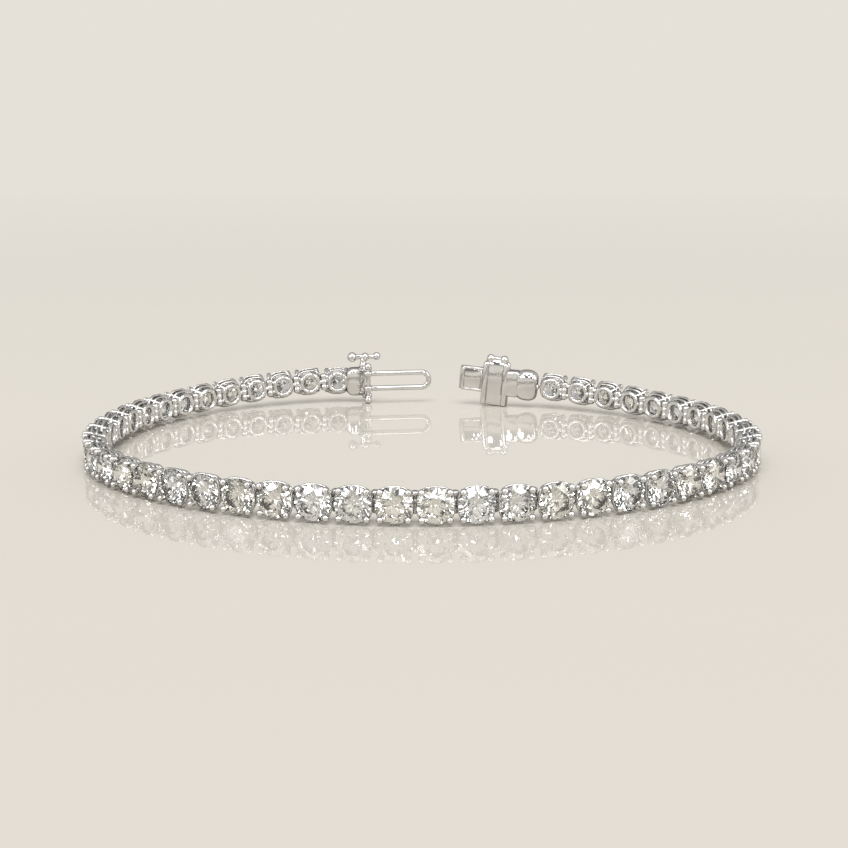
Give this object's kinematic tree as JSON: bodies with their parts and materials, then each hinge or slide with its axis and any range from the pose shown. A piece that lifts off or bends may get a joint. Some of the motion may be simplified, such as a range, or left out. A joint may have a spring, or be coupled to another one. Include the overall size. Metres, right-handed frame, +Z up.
{
  "type": "tennis bracelet",
  "caption": "White gold tennis bracelet of round brilliants in four-prong settings, open at its box clasp, standing on its edge.",
  "frame": {"origin": "on the surface the bracelet stands on, under the middle of its bounding box", "axes": "+Z up, across the band's width; the open clasp is at +Y and the front of the loop at -Y; +X is the long way across the loop, to the right seen from the front"},
  "size_m": [0.0674, 0.0554, 0.0061],
  "materials": {
    "diamond": "faceted, clear, faintly warm",
    "white_gold": "bright polish"
  },
  "bodies": {
    "bracelet": {"chain_row_01": "diamond", "chain_row_02": "diamond", "chain_row_03": "diamond", "chain_row_04": "diamond", "chain_row_05": "diamond", "chain_row_06": "diamond", "chain_row_07": "diamond", "chain_row_08": "diamond", "chain_row_09": "diamond", "chain_row_10": "diamond", "chain_row_11": "diamond", "chain_row_12": "diamond", "clasp_box": "white_gold", "thumb_bar": "white_gold", "end_block": "white_gold", "tongue": "white_gold"},
    "safety_catch": {"safety_loop": "white_gold"}
  },
  "joints": [
    {"name": "safety_catch_hinge", "type": "hinge", "parent": "bracelet", "child": "safety_catch", "pos_m": [-0.00649, 0.02495, 0.00244], "axis": [0, 0, -1], "range_deg": [0, 150]}
  ]
}
